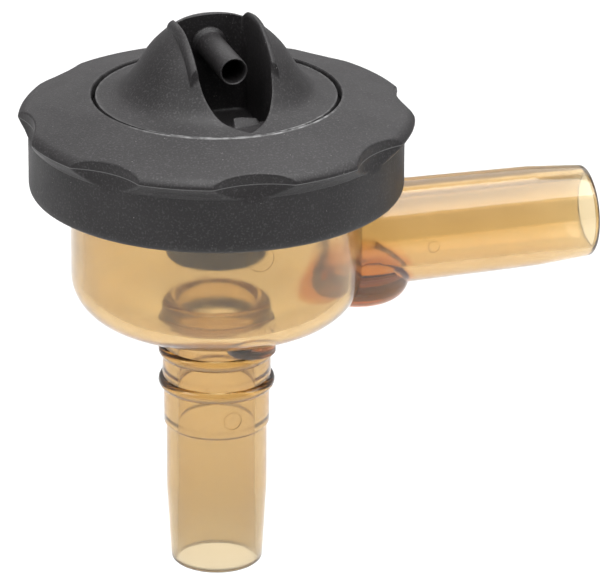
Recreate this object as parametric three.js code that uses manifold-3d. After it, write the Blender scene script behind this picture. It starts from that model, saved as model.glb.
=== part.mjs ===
// Diaphragm shut-off valve for a milk line: a tinted clear bowl with an outlet tube below and an
// inlet tube at its side, closed by a rubber diaphragm, a hooded cover and a screw ring.
// Units are millimetres and +Z is up. The origin is on the bowl's axis, in the middle of the
// bracket groove on its neck. The inlet tube points along +X and the hood opens towards -Y.
import * as THREE from 'three';
import { mergeVertices } from 'three/addons/utils/BufferGeometryUtils.js';
import Module from 'manifold-3d';

const wasm = await Module();
wasm.setup();

// ---------- driving dimensions ----------
const gap = 0.3; // clearance between neighbouring solids
const edgeBreak = 0.6; // small bevels on the mouldings

// outlet tube and neck
const boreRadius = 7.95;
const tubeRadius = 10.45; // over the straight part of the tube
const tubeMouthRadius = 9.5; // over the tapered mouth
const tubeStepRadius = 10.95; // thicker stretch under the beads
const neckRadius = 11.2;
const beadRadius = 1.45; // section of the two beads on the neck
const beadCentreRadius = 10.6;
const beadSpacing = 7.0;
const neckAboveBead = 0.35; // plain neck between the upper bead and the outlet tube's end
const outletMouth = -44.05; // height of the outlet's end face
const outletTaperTop = outletMouth + 17;
const stepHeight = -12.7;
const lipRound = 0.85;

// bowl
const bowlRadius = 29.95;
const wall = 2.5;
const bowlCornerRadius = 8.6;
const bowlCornerHeight = 20.75; // centre of the rounded corner
const floorAtNeck = 8.5; // underside of the sloping floor where it meets the neck
const seatRadius = 11.2;
const seatTop = 15.05;
const seatRound = 1.1;
const shoulderHeight = 42.8; // underside of the shoulder that carries the thread collar
const collarRadius = 35.2;
const collarInnerRadius = 32.8;
const clampGroove = 0.7; // depth of the ledge that the diaphragm's rim drops into
const ledgeHeight = 3.2; // the ledge's height over the shoulder's underside
const rimHeight = 51.55;
const rimRadius = 34.7;
const padRadius = 5.1;
const padReach = 20.6; // distance of the gate pad from the axis
const padAngle = THREE.MathUtils.degToRad(-86.3);
const padDepth = 1.4;

// inlet tube, and the solid boss below it
const inletHeight = 24.9;
const inletRootRadius = 10.95; // where the tube meets the bowl
const inletRadius = 10.4; // where the mouth's taper starts
const inletMouthRadius = 9.5;
const inletBoreRadius = 7.7;
const inletReach = 80.3;
const inletTaper = 12;
const bossReach = 30.2;
const bossRadius = 10.85;
const bossBottom = 11.9;
const bossRound = 4.0;
const inletReachIn = 12; // how far the raw tube reaches into the bowl before the bowl is cut out

// screw ring
const ringBottom = 39.55;
const ringRimHeight = 54.0; // height of its widest edge
const ringRimRadius = 40.45;
const ringSkirtRadius = 38.35;
const ringSkirtRound = 1.0;
const ringInnerTop = 59.55;
const ringOpening = 25.43;
const ringConeOuter = 38.95;
const ringConeOuterHeight = 55.85;
const ringPlateThickness = 2.55;
const threadRootRadius = 36.75;
const ringInnerCorner = 35.2;
const gripCount = 8;
const gripReach = 37.6; // bottom of each finger recess, from the ring's axis
const gripRadius = 18.2;
const gripTurn = THREE.MathUtils.degToRad(-5.15);
const gripDrop = 4.5; // the recesses end this far below the widest edge

// screw thread
const threadPitch = 4.0;
const threadTurns = 1.6;
const threadSteps = 40; // per turn
const threadRootHalf = 1.0; // half the ridge's width at its root
const threadCrestHalf = 0.4;
const threadFade = 8; // steps over which the ridge rises at its ends
const threadSunk = 0.4; // how deep the ridge is sunk in its wall
const maleCrestRadius = 36.2;
const femaleCrestRadius = 35.65;
const maleThreadStart = 44.1;
const femaleThreadStart = 42.3;

// cover
const coverRadius = 34.6;
const coverDiscRadius = 24.7;
const coverDiscTop = 59.2;
const coverBottom = 53.85;
const coverWall = 1.6;
const coverPlate = 1.9; // thickness of the disc
const coverHollowRadius = 30.8; // inside of the flange
const coverHollowInner = 25.5; // where the hollow starts to rise under the disc
const hoodFoot = 18; // the hood's own hollow starts at this radius
const hoodHeight = 16.0;
const coverTurn = THREE.MathUtils.degToRad(1.2);
const slotHalfWidth = 7.6;
const slotBack = 5.5;
const slotStraight = 12.0; // where the slot's sides start to run together
const slotTip = 23.4;
const slotCorner = 2.5;
const slotFloor = 57.9;
const slotWall = 1.5;
const lipWidth = 1.4;
const lipProud = 0.9;
const lipBack = 3.0;
const lipFront = 13.2;
const lipBottom = coverDiscTop + 6;
const nippleHeight = coverDiscTop + 9.0;
const nippleRadius = 2.9;
const nippleBore = 2.35;
const nippleReach = 11.9;
const nippleFoot = 3.7;
const nippleSegments = 28;

// diaphragm and plug, in the open position
const rimOuterRadius = 34.6;
const rimWebRadius = 30.9;
const rimSkirt = 2.6; // how far the rim reaches down inside the collar
const webOuterRadius = 30.6;
const webThickness = 1.3;
const plugRadius = 10.4;
const plugBottom = 24.65;
const plugTop = 40.6;
const plugWaist = 8.6;
const plugRound = 0.9;
const plugDisc = 4.2; // height of the plug's full width
const plugNeck = 6.4; // height at which it has narrowed to its waist
const plateRadius = 7.6;
const plateThickness = 2.4;

// ---------- materials ----------
const amber = (name) => new THREE.MeshStandardMaterial({
  name, color: 0xd9a95a, roughness: 0.12, metalness: 0, transparent: true, opacity: 0.55,
});
const blackPlastic = (name) => new THREE.MeshStandardMaterial({
  name, color: 0x2b2b2d, roughness: 0.55, metalness: 0,
});
const rubber = (name) => new THREE.MeshStandardMaterial({
  name, color: 0x1b1b1c, roughness: 0.7, metalness: 0,
});
const greyPlastic = (name) => new THREE.MeshStandardMaterial({
  name, color: 0x55585c, roughness: 0.5, metalness: 0,
});

// ---------- helpers ----------
const v2 = (x, y) => new THREE.Vector2(x, y);

// A closed three.js geometry as a manifold solid.
function solid(geometry) {
  const bare = geometry.clone();
  bare.deleteAttribute('normal');
  bare.deleteAttribute('uv');
  const merged = mergeVertices(bare, 1e-4);
  const index = merged.index.array;
  const triangles = [];
  for (let i = 0; i < index.length; i += 3) {
    const [a, b, c] = [index[i], index[i + 1], index[i + 2]];
    if (a !== b && b !== c && c !== a) triangles.push(a, b, c);
  }
  return new wasm.Manifold(new wasm.Mesh({
    numProp: 3,
    vertProperties: new Float32Array(merged.attributes.position.array),
    triVerts: new Uint32Array(triangles),
  }));
}

// A manifold solid as a named mesh.
function mesh(name, body, material) {
  const result = body.getMesh();
  const geometry = new THREE.BufferGeometry();
  geometry.setAttribute('position', new THREE.BufferAttribute(result.vertProperties, 3));
  geometry.setIndex(new THREE.BufferAttribute(result.triVerts, 1));
  geometry.computeVertexNormals();
  const made = new THREE.Mesh(geometry, material);
  made.name = name;
  return made;
}

// A solid of revolution about Z from a closed outline of (radius, height) points.
function revolve(outline, segments = 48) {
  const points = THREE.ShapeUtils.area(outline) > 0 ? [...outline] : [...outline].reverse();
  points.push(points[0].clone());
  return solid(new THREE.LatheGeometry(points, segments).rotateX(Math.PI / 2));
}

// Points of an arc about (x, y), from one angle to another in degrees.
function arc(x, y, radius, from, to, steps = 6) {
  const points = [];
  for (let i = 0; i <= steps; i += 1) {
    const angle = THREE.MathUtils.degToRad(from + ((to - from) * i) / steps);
    points.push(v2(x + radius * Math.cos(angle), y + radius * Math.sin(angle)));
  }
  return points;
}

// A prism of a shape drawn in plan, between two heights.
function prism(shape, bottom, top, curveSegments = 12) {
  const geometry = new THREE.ExtrudeGeometry(shape, {
    depth: top - bottom, bevelEnabled: false, curveSegments,
  });
  return solid(geometry.translate(0, 0, bottom));
}

// An upright block between two corners.
function block(x0, y0, z0, x1, y1, z1) {
  const geometry = new THREE.BoxGeometry(x1 - x0, y1 - y0, z1 - z0);
  return solid(geometry.translate((x0 + x1) / 2, (y0 + y1) / 2, (z0 + z1) / 2));
}

// A solid of revolution laid along +X at a given height.
function revolveAlongX(outline, height, segments = 48) {
  const points = THREE.ShapeUtils.area(outline) > 0 ? [...outline] : [...outline].reverse();
  points.push(points[0].clone());
  const geometry = new THREE.LatheGeometry(points, segments).rotateZ(-Math.PI / 2);
  return solid(geometry.translate(0, 0, height));
}

// A helical ridge about Z: its section is a trapezoid that fades out at both ends.
function threadRidge(rootRadius, crestRadius, start) {
  const steps = Math.round(threadTurns * threadSteps);
  const leastShare = 0.08;
  const positions = [];
  const index = [];
  for (let i = 0; i <= steps; i += 1) {
    const angle = (2 * Math.PI * i) / threadSteps;
    const height = start + (threadPitch * i) / threadSteps;
    const share = Math.max(leastShare, Math.min(1, i / threadFade, (steps - i) / threadFade));
    const crest = rootRadius + (crestRadius - rootRadius) * share;
    const inner = rootRadius - Math.sign(crestRadius - rootRadius) * threadSunk;
    for (const [radius, rise] of [
      [inner, -threadRootHalf], [inner, threadRootHalf],
      [crest, threadCrestHalf], [crest, -threadCrestHalf],
    ]) {
      positions.push(radius * Math.cos(angle), radius * Math.sin(angle), height + rise);
    }
  }
  const quad = (a, b, c, d) => index.push(a, b, c, a, c, d);
  for (let i = 0; i < steps; i += 1) {
    for (let side = 0; side < 4; side += 1) {
      const next = (side + 1) % 4;
      quad(4 * i + side, 4 * i + next, 4 * i + 4 + next, 4 * i + 4 + side);
    }
  }
  quad(3, 2, 1, 0);
  quad(4 * steps, 4 * steps + 1, 4 * steps + 2, 4 * steps + 3);
  if (crestRadius < rootRadius) index.reverse();
  const geometry = new THREE.BufferGeometry();
  geometry.setAttribute('position', new THREE.Float32BufferAttribute(positions, 3));
  geometry.setIndex(index);
  return solid(geometry);
}

// ---------- bowl moulding: bowl, outlet tube and inlet tube ----------
const beadHeight = beadSpacing / 2;
const outletTop = beadHeight + beadRadius + neckAboveBead; // top of the outlet tube's node
const cornerCentre = bowlRadius - bowlCornerRadius;

// Outer outline of the bowl from the neck up to the rim, offset outwards by grow.
function bowlOutside(grow = 0) {
  const corner = bowlCornerRadius + grow;
  return [
    v2(neckRadius + grow, floorAtNeck - edgeBreak - grow),
    v2(neckRadius + 0.8 + grow, floorAtNeck - grow),
    ...arc(cornerCentre, bowlCornerHeight, corner, -72, 0, 6),
    v2(bowlRadius + grow, shoulderHeight - edgeBreak - grow),
    v2(bowlRadius + edgeBreak + grow, shoulderHeight - grow),
    v2(collarRadius - edgeBreak + grow, shoulderHeight - grow),
    v2(collarRadius + grow, shoulderHeight + edgeBreak),
    v2(collarRadius + grow, rimHeight - 1.4),
    v2(rimRadius + grow, rimHeight - 0.8),
    v2(rimRadius + grow, rimHeight + grow),
  ];
}

function bowlSolid() {
  const inside = bowlRadius - wall;
  const outline = [
    v2(boreRadius, outletTop + gap),
    v2(neckRadius, outletTop + gap),
    ...bowlOutside(),
    v2(collarInnerRadius, rimHeight),
    v2(collarInnerRadius, shoulderHeight + ledgeHeight),
    v2(collarInnerRadius - clampGroove, shoulderHeight + wall),
    v2(inside + clampGroove, shoulderHeight + wall),
    v2(inside, shoulderHeight + wall - clampGroove),
    ...arc(cornerCentre, bowlCornerHeight, bowlCornerRadius - wall, 0, -72, 5),
    v2(seatRadius + 0.5, floorAtNeck + wall),
    v2(seatRadius, floorAtNeck + wall + 0.5),
    ...arc(seatRadius - seatRound, seatTop - seatRound, seatRound, 0, 90, 3),
    ...arc(boreRadius + edgeBreak, seatTop - edgeBreak, edgeBreak, 90, 180, 2),
  ];
  const padShape = new THREE.Shape().absarc(0, 0, padRadius, 0, 2 * Math.PI);
  const padX = padReach * Math.cos(padAngle);
  const padY = padReach * Math.sin(padAngle);
  const padBottom = bowlCornerHeight - bowlCornerRadius - padDepth;
  const pad = prism(padShape, padBottom, padBottom + 4).translate(padX, padY, 0)
    .subtract(revolve([v2(0, 0), ...bowlOutside(-wall / 2), v2(0, rimHeight)]));
  const thread = threadRidge(collarRadius, maleCrestRadius, maleThreadStart);
  const bore = revolveAlongX([
    v2(0, bowlRadius - 8), v2(inletBoreRadius, bowlRadius - 8),
    v2(inletBoreRadius, bowlRadius + 4), v2(0, bowlRadius + 4),
  ], inletHeight);
  return revolve(outline).add(pad).add(thread).subtract(bore);
}

function outletSolid() {
  const bottom = outletMouth;
  const outline = [
    ...arc(tubeMouthRadius - lipRound, bottom + lipRound, lipRound, -90, 0, 3),
    v2(tubeRadius, outletTaperTop),
    v2(tubeRadius, stepHeight - edgeBreak),
    v2(tubeStepRadius, stepHeight),
    ...arc(beadCentreRadius, -beadHeight, beadRadius, -70, 70, 5),
    v2(neckRadius, -beadHeight + beadRadius - 0.05),
    v2(neckRadius, beadHeight - beadRadius + 0.05),
    ...arc(beadCentreRadius, beadHeight, beadRadius, -65, 65, 5),
    v2(neckRadius, outletTop),
    v2(boreRadius, outletTop),
    v2(boreRadius, bottom + 0.4),
    v2(boreRadius + 0.2, bottom),
  ];
  return revolve(outline);
}

function inletSolid() {
  const start = bowlRadius - inletReachIn;
  const tube = revolveAlongX([
    v2(0, start), v2(inletRootRadius, start), v2(inletRootRadius, bowlRadius),
    v2(inletRadius, inletReach - inletTaper),
    v2(inletMouthRadius, inletReach - lipRound),
    ...arc(inletMouthRadius - lipRound, inletReach - lipRound, lipRound, 0, 90, 4).slice(1),
    v2(0, inletReach),
  ], inletHeight);
  const boss = revolve([
    v2(0, bossBottom),
    ...arc(bossRadius - bossRound, bossBottom + bossRound, bossRound, -90, 0, 5),
    v2(bossRadius, inletHeight), v2(0, inletHeight),
  ]).translate(bossReach, 0, 0);
  const bore = revolveAlongX([
    v2(0, start - 1), v2(inletBoreRadius, start - 1), v2(inletBoreRadius, inletReach + 1),
    v2(0, inletReach + 1),
  ], inletHeight);
  const bowl = revolve([v2(0, 0), ...bowlOutside(gap), v2(0, rimHeight + gap)]);
  return tube.add(boss).subtract(bowl).subtract(bore);
}

// ---------- screw ring ----------
const coneSlope = (ringConeOuterHeight - ringInnerTop) / (ringConeOuter - ringOpening);
const ringTopAt = (radius) => ringInnerTop + coneSlope * (radius - ringOpening);
const ringUndersideAt = (radius) => ringTopAt(radius) - ringPlateThickness;

function ringSolid() {
  const outline = [
    v2(threadRootRadius, ringBottom + 0.3),
    v2(threadRootRadius + 0.3, ringBottom),
    ...arc(ringSkirtRadius - 0.15 - ringSkirtRound, ringBottom + ringSkirtRound, ringSkirtRound,
      -90, 0, 4),
    v2(ringSkirtRadius, ringRimHeight - 3.4),
    v2(ringSkirtRadius + 0.35, ringRimHeight - 2.5),
    v2(ringRimRadius - 0.45, ringRimHeight - 0.6),
    v2(ringRimRadius, ringRimHeight),
    v2(ringRimRadius - 0.1, ringRimHeight + 0.6),
    v2(ringRimRadius - 0.6, ringRimHeight + 1.25),
    v2(ringConeOuter, ringConeOuterHeight),
    v2(ringOpening + 0.2, ringTopAt(ringOpening + 0.2)),
    v2(ringOpening, ringInnerTop - 0.2),
    v2(ringOpening, ringUndersideAt(ringOpening)),
    v2(ringInnerCorner, ringUndersideAt(ringInnerCorner)),
    v2(ringInnerCorner, rimHeight + 0.6),
    v2(threadRootRadius, rimHeight - 1.15),
  ];
  // The recess cutter is an upright drum that pulls in towards the skirt.
  const recess = revolve([
    v2(0, ringRimHeight - gripDrop),
    v2(gripRadius - 1.3, ringRimHeight - gripDrop),
    v2(gripRadius - 0.6, ringRimHeight - 3),
    v2(gripRadius - 0.15, ringRimHeight - 1),
    v2(gripRadius, ringRimHeight + 0.5),
    v2(gripRadius, ringRimHeight + 8),
    v2(0, ringRimHeight + 8),
  ], 72);
  const gripCentre = gripReach + gripRadius;
  let ring = revolve(outline, 64);
  for (let i = 0; i < gripCount; i += 1) {
    const angle = gripTurn + (2 * Math.PI * i) / gripCount;
    ring = ring.subtract(
      recess.translate(gripCentre * Math.cos(angle), gripCentre * Math.sin(angle), 0));
  }
  return ring.add(threadRidge(threadRootRadius, femaleCrestRadius, femaleThreadStart));
}

// ---------- cover with its hood and vacuum nipple ----------
// The hood's outline rises from the cover's disc in a hollow curve to a rounded top.
const hoodCurve = new THREE.SplineCurve([
  v2(23.6, 0.05), v2(19.7, 1.6), v2(16.9, 5.0), v2(14.4, 9.0), v2(12.5, 11.3),
  v2(10.4, 13.2), v2(8.0, 14.8), v2(5.0, 15.6), v2(0, hoodHeight),
]);

// Points of the hood's outline from its foot to its top, offset outwards by grow.
function hoodOutline(grow, steps = 12) {
  const points = [];
  for (let i = 0; i <= steps; i += 1) {
    const at = hoodCurve.getPoint(i / steps);
    const along = hoodCurve.getTangent(i / steps);
    points.push(v2(Math.max(0, at.x + along.y * grow), coverDiscTop + at.y - along.x * grow));
  }
  points[points.length - 1].x = 0;
  return points;
}

// The slot's plan, open towards -Y and grown by a wall thickness.
function slotShape(grow = 0) {
  const half = slotHalfWidth + grow;
  const back = slotBack + grow;
  const tip = slotTip + 1.3 * grow;
  const shape = new THREE.Shape();
  shape.moveTo(-half, back - slotCorner);
  shape.lineTo(-half, -slotStraight);
  shape.quadraticCurveTo(-half, -(slotStraight + tip) / 2, 0, -tip);
  shape.quadraticCurveTo(half, -(slotStraight + tip) / 2, half, -slotStraight);
  shape.lineTo(half, back - slotCorner);
  shape.quadraticCurveTo(half, back, half - slotCorner, back);
  shape.lineTo(slotCorner - half, back);
  shape.quadraticCurveTo(-half, back, -half, back - slotCorner);
  return shape;
}

function coverSolid() {
  const top = coverDiscTop + hoodHeight + 3;
  const flangeTopAt = (radius) => ringUndersideAt(radius) - gap;
  const outside = revolve([
    v2(0, coverBottom),
    v2(coverRadius, coverBottom),
    v2(coverRadius, flangeTopAt(coverRadius)),
    v2(coverDiscRadius + 0.9, flangeTopAt(coverDiscRadius + 0.9)),
    v2(coverDiscRadius, flangeTopAt(coverDiscRadius)),
    v2(coverDiscRadius, coverDiscTop - 0.2),
    v2(coverDiscRadius - 0.2, coverDiscTop),
    ...hoodOutline(0),
  ], 56);
  const hollow = revolve([
    v2(0, coverBottom - 1),
    v2(coverHollowRadius, coverBottom - 1),
    v2(coverHollowRadius, coverBottom + 0.2),
    v2(coverHollowInner, flangeTopAt(coverHollowInner) - coverPlate),
    v2(coverHollowInner - 3.1, coverDiscTop - coverPlate),
    ...hoodOutline(-coverWall).filter((point) => point.x < hoodFoot),
  ]);
  const pocket = prism(slotShape(), slotFloor, top);
  const pocketWalls = prism(slotShape(slotWall), slotFloor - slotWall, top);
  const lipOutline = hoodOutline(lipProud).filter((point) => point.y > lipBottom);
  const lip = revolve([v2(0, lipBottom), ...lipOutline], 56)
    .intersect(prism(slotShape(lipWidth), lipBottom, top))
    .intersect(block(-coverDiscRadius, -lipFront, 0, coverDiscRadius, lipBack, top));
  const tubeAlongY = (outline) => revolveAlongX(outline, 0, nippleSegments)
    .rotate([0, 0, -90]).translate(0, 0, nippleHeight);
  const start = -slotBack - 1;
  const nipple = tubeAlongY([
    v2(0, start), v2(nippleFoot, start), v2(nippleFoot, -slotBack + 0.7),
    v2(nippleRadius, -slotBack + 1.5), v2(nippleRadius, nippleReach - 0.3),
    v2(nippleRadius - 0.2, nippleReach), v2(0, nippleReach),
  ]);
  const bore = tubeAlongY([
    v2(0, start - 3), v2(nippleBore, start - 3), v2(nippleBore, nippleReach + 1),
    v2(0, nippleReach + 1),
  ]);
  return outside.add(lip).subtract(hollow.subtract(pocketWalls)).subtract(pocket)
    .add(nipple).subtract(bore);
}

// ---------- diaphragm, plug and its support plate ----------
function diaphragmRimSolid() {
  return revolve([
    v2(rimWebRadius, rimHeight - rimSkirt),
    v2(collarInnerRadius - gap, rimHeight - rimSkirt),
    v2(collarInnerRadius - gap, rimHeight + gap),
    v2(rimOuterRadius, rimHeight + gap),
    v2(rimOuterRadius, coverBottom - gap),
    v2(rimWebRadius, coverBottom - gap),
  ]);
}

// The web falls steadily from the rim to the plug in a shallow S.
function diaphragmWebSolid() {
  const inner = plugWaist + gap;
  const line = new THREE.SplineCurve([
    v2(webOuterRadius, rimHeight + 0.6), v2(27.0, rimHeight - 1.6), v2(22.0, rimHeight - 7.0),
    v2(16.0, plugTop + 0.6), v2(inner, plugTop - 1.6),
  ]);
  const upper = [];
  const lower = [];
  const steps = 8;
  for (let i = 0; i <= steps; i += 1) {
    const at = line.getPoint(i / steps);
    upper.push(v2(at.x, at.y + webThickness / 2));
    lower.unshift(v2(at.x, at.y - webThickness / 2));
  }
  return revolve([...upper, ...lower]);
}

function plugSolid() {
  return revolve([
    v2(0, plugBottom),
    ...arc(plugRadius - plugRound, plugBottom + plugRound, plugRound, -90, 0, 4),
    v2(plugRadius, plugBottom + plugDisc),
    v2(plugWaist, plugBottom + plugNeck),
    v2(plugWaist, plugTop),
    v2(plateRadius + gap, plugTop),
    v2(plateRadius + gap, plugTop - plateThickness - gap),
    v2(0, plugTop - plateThickness - gap),
  ]);
}

function plateSolid() {
  return revolve([
    v2(0, plugTop - plateThickness),
    v2(plateRadius, plugTop - plateThickness),
    v2(plateRadius, plugTop - 0.4),
    v2(plateRadius - 0.4, plugTop),
    v2(0, plugTop),
  ]);
}

// ---------- assembly ----------
const valve = new THREE.Group();
const cover = mesh('cover', coverSolid(), blackPlastic('cover_plastic'));
cover.rotation.z = coverTurn;
valve.add(
  mesh('valve_bowl', bowlSolid(), amber('bowl_amber')),
  mesh('outlet_tube', outletSolid(), amber('outlet_amber')),
  mesh('inlet_tube', inletSolid(), amber('inlet_amber')),
  mesh('screw_ring', ringSolid(), blackPlastic('ring_plastic')),
  cover,
  mesh('diaphragm_rim', diaphragmRimSolid(), rubber('rim_rubber')),
  mesh('diaphragm_web', diaphragmWebSolid(), rubber('web_rubber')),
  mesh('valve_plug', plugSolid(), rubber('plug_rubber')),
  mesh('support_plate', plateSolid(), greyPlastic('plate_plastic')),
);

export default valve;
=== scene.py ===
"""Looks of a diaphragm shut-off valve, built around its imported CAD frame.

The amber moulding, the screw ring, the cover and the rubber diaphragm are rebuilt as fine meshes
on the frame's own dimensions. The pieces' lengths are in millimetres until skin() makes metres;
the floor, lights and camera are in metres.
"""

import math

import bmesh
import bpy
import numpy as np
from mathutils import Matrix, Vector


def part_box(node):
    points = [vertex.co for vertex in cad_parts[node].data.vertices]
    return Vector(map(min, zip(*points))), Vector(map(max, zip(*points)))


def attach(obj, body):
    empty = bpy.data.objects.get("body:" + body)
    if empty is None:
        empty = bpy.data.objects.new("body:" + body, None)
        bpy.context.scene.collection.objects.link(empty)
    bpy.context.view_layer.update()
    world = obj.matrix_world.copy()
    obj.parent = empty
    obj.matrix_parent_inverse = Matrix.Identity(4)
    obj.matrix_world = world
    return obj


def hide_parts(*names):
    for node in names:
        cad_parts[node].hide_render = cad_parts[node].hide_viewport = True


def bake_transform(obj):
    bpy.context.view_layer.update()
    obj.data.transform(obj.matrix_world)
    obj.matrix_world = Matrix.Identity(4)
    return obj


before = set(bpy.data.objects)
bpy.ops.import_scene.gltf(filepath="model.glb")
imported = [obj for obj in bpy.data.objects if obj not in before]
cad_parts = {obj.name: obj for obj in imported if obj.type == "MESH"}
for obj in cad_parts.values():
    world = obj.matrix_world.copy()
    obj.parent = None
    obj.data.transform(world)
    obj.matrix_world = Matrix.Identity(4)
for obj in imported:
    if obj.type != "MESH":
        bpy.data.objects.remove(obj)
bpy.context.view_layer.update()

MM = 0.001


def span(node):
    """Lowest and highest corner of a CAD node, in millimetres."""
    low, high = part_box(node)
    return low / MM, high / MM


# ---------- dimensions from the frame ----------
OUTLET_LOW = span("outlet_tube")[0]
INLET_LOW, INLET_HIGH = span("inlet_tube")
BOWL_HIGH = span("valve_bowl")[1]
RING_LOW, RING_HIGH = span("screw_ring")
COVER_LOW = span("cover")[0]
RUBBER_LOW, RUBBER_HIGH = span("diaphragm_rim")
PLUG_LOW, PLUG_HIGH = span("valve_plug")
PLATE_LOW, PLATE_HIGH = span("support_plate")

# ---------- dimensions of the mouldings; radii and heights unless named otherwise ----------
GAP = 0.3
SEGMENTS = 192

# outlet tube and neck
BORE = 7.95
TUBE = 10.45
MOUTH = 9.5
STEP = 10.95
NECK = 11.2
BEAD = 1.45
BEAD_CENTRE = 10.6
BEAD_HEIGHT = 3.5
STEP_HEIGHT = -12.7
TAPER = 17.0
LIP = 0.85
MOUTH_FLARE = 1.5

# bowl, seat and collar
BOWL = 29.95
WALL = 2.5
CORNER = 8.6
CORNER_HEIGHT = 20.75
CORNER_END = -72.0
FLOOR = 8.5
FLOOR_AT_SEAT = 1.5
SEAT = 11.2
SEAT_TOP = 15.05
SHOULDER = 42.8
COLLAR = 35.2
COLLAR_INSIDE = 32.8
RIM = BOWL_HIGH.z
RIM_RADIUS = 34.7

# gate pad under the bowl
PAD = 5.1
PAD_REACH = 20.6
PAD_TURN = math.radians(-86.3)
PAD_DEPTH = 1.4

# inlet tube and the boss under it; starts and reaches are along X
INLET_START = 12
INLET_HEIGHT = 24.9
INLET_ROOT = 10.95
INLET = 10.4
INLET_MOUTH = 9.5
INLET_BORE = 7.7
INLET_TAPER = 12.0
BOSS_REACH = 30.2
BOSS = 10.85
BOSS_ROUND = 4.0

# witness marks: radius, the wall's radius, groove width, angle of the deepest side in degrees
BOWL_MARK = 2.7, BOWL, 0.08, 290
BOWL_MARK_HEIGHT = 34.65
BOWL_MARK_TURN = math.radians(1.3)
NECK_MARK = 1.85, STEP, 0.1, 330
NECK_MARK_HEIGHT = -8.85
NECK_MARK_TURN = math.radians(1.5)
INLET_MARK = 1.2, 10.72, 0.08, 90
INLET_MARK_REACH = 43.4

# screw thread
THREAD_PITCH = 4.0
THREAD_TURNS = 1.6
THREAD_RISE = 0.98
MALE_START = 44.1
FEMALE_START = 42.3
THREAD_FADE = 0.12
THREAD_CREST = 0.35
THREAD_FOOT = 1.05

# screw ring
RING_RIM = 40.4
RING_RIM_HEIGHT = 54.0
RING_SKIRT = 38.35
RING_OPENING = 25.43
RING_CONE = 38.95
RING_CONE_HEIGHT = 55.85
RING_ROOT = 36.75
RING_PLATE = 2.55
GRIPS = 8
GRIP_REACH = 37.6
GRIP_RADIUS = 18.2
GRIP_TURN = math.radians(-5.15)
GRIP_NONE = 60.0
RING_POINTS = 880
RING_EDGE = 0.35
RING_INNER_EDGE = 0.45
RING_SHELF = 35.2
PARTING_RISE = 0.05
PARTING_WIDTH = 0.07

# cover, its hood with the slot, and the nipple
COVER_RADIUS = 34.6
DISC = 24.7
DISC_TOP = 59.2
COVER_TURN = math.radians(1.2)
SLOT_HALF = 7.6
SLOT_BACK = 5.5
SLOT_STRAIGHT = 12.0
SLOT_TIP = 23.4
SLOT_FLOOR = 57.9
SLOT_WALL = 1.5
SLOT_CORNER = 2.5
WEDGE_FOOT = -16.6
WEDGE_CREST = -14.4
WEDGE_RISE = 1.5
POCKET_DROP = 4.6
ROLL_WIDTH = 1.8
ROLL_RISE = 1.02
ROLL_BACK = 4.8
ROLL_FRONT = -12.5
SLOT_CENTRE = np.array((0.0, -8.0))
SLOT_FOCUS = np.array((0.0, -6.0))
SLOT_POINTS = 520
FLOOR_ROUND = 0.6
COVER_WALL = 1.9
FLANGE_BORE = 30.8
HOLLOW = 22.4
POCKET_REACH = 21.8
NIPPLE_HEIGHT = DISC_TOP + 9.0
NIPPLE = 2.9
NIPPLE_BORE = 2.45
NIPPLE_REACH = 11.9


# ---------- outlines ----------
def arc(x, y, radius, start, end, steps=10):
    """Points of an arc about (x, y), between two angles in degrees."""
    angles = np.radians(np.linspace(start, end, steps + 1))
    return [(x + radius * math.cos(a), y + radius * math.sin(a)) for a in angles]


def unit(vector):
    """The vector at length 1."""
    return vector / np.linalg.norm(vector)


def rounded(corners, closed=True, steps=6):
    """An outline whose corners (x, y, radius) are rounded by tangent arcs; (x, y) stays sharp."""
    points = []
    count = len(corners)
    for i, corner in enumerate(corners):
        here = np.array(corner[:2], float)
        inside = closed or 0 < i < count - 1
        if len(corner) < 3 or not inside:
            points.append(tuple(here))
            continue
        radius = corner[2]
        back = unit(np.array(corners[i - 1][:2]) - here)
        ahead = unit(np.array(corners[(i + 1) % count][:2]) - here)
        half = math.acos(np.clip(back @ ahead, -1, 1)) / 2
        centre = here + unit(back + ahead) * radius / math.sin(half)
        first = here + back * radius / math.tan(half) - centre
        last = here + ahead * radius / math.tan(half) - centre
        start = math.atan2(first[1], first[0])
        sweep = (math.atan2(last[1], last[0]) - start + math.pi) % (2 * math.pi) - math.pi
        for k in range(steps + 1):
            angle = start + sweep * k / steps
            points.append(tuple(centre + radius * np.array((math.cos(angle), math.sin(angle)))))
    return points


def refined(points, step, closed=True):
    """The same outline with no edge longer than step."""
    made = []
    pairs = zip(points, points[1:] + points[:1] if closed else points[1:])
    for start, end in pairs:
        start, end = np.array(start), np.array(end)
        parts = max(1, math.ceil(np.linalg.norm(end - start) / step))
        made.extend(tuple(start + (end - start) * k / parts) for k in range(parts))
    if not closed:
        made.append(points[-1])
    return made


def spline(points, steps):
    """A uniform Catmull-Rom curve through the points, as an array."""
    ends = [points[0]] + list(points) + [points[-1]]
    made = []
    for i in range(1, len(ends) - 2):
        a, b, c, d = (np.array(ends[i + k], float) for k in (-1, 0, 1, 2))
        for t in np.linspace(0, 1, steps, endpoint=False):
            made.append(0.5 * (2 * b + (c - a) * t + (2 * a - 5 * b + 4 * c - d) * t**2
                               + (3 * b - a - 3 * c + d) * t**3))
    made.append(np.array(points[-1], float))
    return np.array(made)


def smooth_step(x, low, high):
    """0 below low, 1 above high, smooth between."""
    t = np.clip((x - low) / (high - low), 0, 1)
    return t * t * (3 - 2 * t)


def smooth_min(a, b, width):
    """The lower of a and b, with a soft change-over."""
    share = np.clip(0.5 + 0.5 * (b - a) / width, 0, 1)
    return b + (a - b) * share - width * share * (1 - share)


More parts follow.
